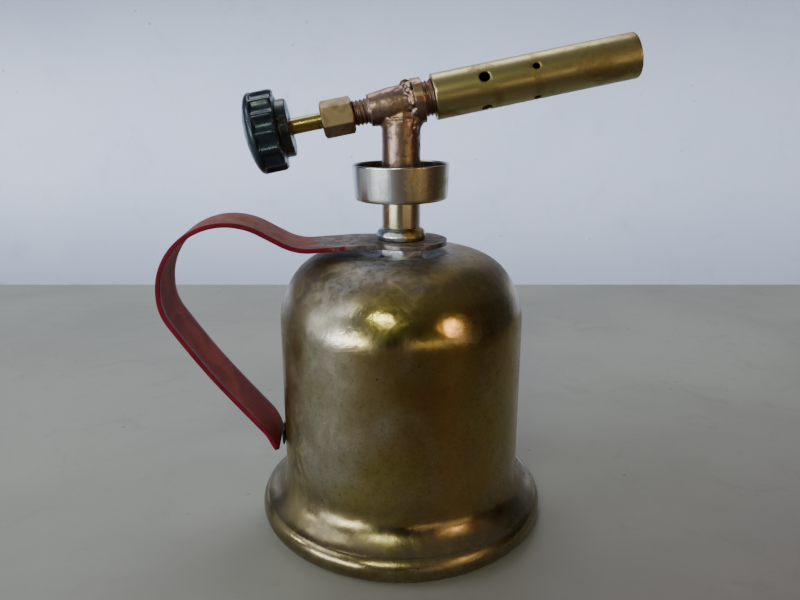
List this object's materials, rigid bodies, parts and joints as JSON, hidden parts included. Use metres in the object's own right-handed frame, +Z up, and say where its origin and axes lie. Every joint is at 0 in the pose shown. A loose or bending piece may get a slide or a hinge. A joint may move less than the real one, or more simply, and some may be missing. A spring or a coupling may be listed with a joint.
{
  "type": "spirit burner",
  "caption": "Hand-held spirit burner: flared brass tank with a strap handle, a priming cup round its stem, and a tilted mixing tube with a knob-turned needle valve.",
  "frame": {"origin": "centre of the whole burner's box, on the plane that its foot stands on", "axes": "+Z up along the tank, +X the way the mixing tube points, -X the handle's side"},
  "size_m": [0.1544, 0.0996, 0.1635],
  "materials": {
    "tank_brass": "aged, blotchy tarnish over worn polish",
    "cup_brass": "bright, brushed round, scratched near its foot",
    "tube_brass": "olive brown tarnish with a dull sheen",
    "nut_brass": "matt, tan tarnish",
    "bronze": "heat-tinted pink and brown, speckled braze",
    "solder": "dull soft solder",
    "red_paint": "dark red paint, rubbed to bare metal at the eye",
    "bakelite": "black moulded phenolic, dulled",
    "steel": "turned",
    "leather": "oiled",
    "graphite": "graphited packing cord",
    "cotton": "undyed strands"
  },
  "bodies": {
    "burner": {"tank_shell": "tank_brass", "tank_bottom": "tank_brass", "base_solder_ring": "solder", "filler_bush": "nut_brass", "tank_spud": "solder", "wick_tube": "tube_brass", "wick": "cotton", "handle_strap": "red_paint", "handle_foot_solder": "solder", "handle_collar": "tube_brass", "lower_stem": "cup_brass", "priming_cup": "cup_brass", "vaporizer_body": "bronze", "jet_holder": "bronze", "gas_jet": "nut_brass", "burner_tube": "tube_brass", "packing_nut": "nut_brass", "gland_follower": "nut_brass", "valve_packing": "graphite"},
    "valve_carrier": {"valve_needle": "steel"},
    "valve": {"valve_spindle": "tube_brass", "control_knob": "bakelite", "knob_screw": "steel"},
    "filler_carrier": {"filler_gasket": "leather"},
    "filler": {"filler_plug": "nut_brass"}
  },
  "joints": [
    {"name": "valve_travel", "type": "slide", "parent": "burner", "child": "valve_carrier", "axis": [-0.9806, 0, -0.1959], "range_m": [0, 0.0015]},
    {"name": "valve_turn", "type": "hinge", "parent": "valve_carrier", "child": "valve", "pos_m": [-0.04037, 0, 0.13322], "axis": [-0.9806, 0, -0.1959], "range_deg": [0, 540]},
    {"name": "filler_travel", "type": "slide", "parent": "burner", "child": "filler_carrier", "axis": [0, 0, -1], "range_m": [0, 0.0045]},
    {"name": "filler_turn", "type": "hinge", "parent": "filler_carrier", "child": "filler", "pos_m": [0.0018, 0, 0.0151], "axis": [0, 0, -1], "range_deg": [0, 1080]}
  ],
  "couplings": [
    {"joint": "valve_travel", "follows": "valve_turn", "m_per_rad": 0.000159},
    {"joint": "filler_travel", "follows": "filler_turn", "m_per_rad": 0.0002386}
  ]
}
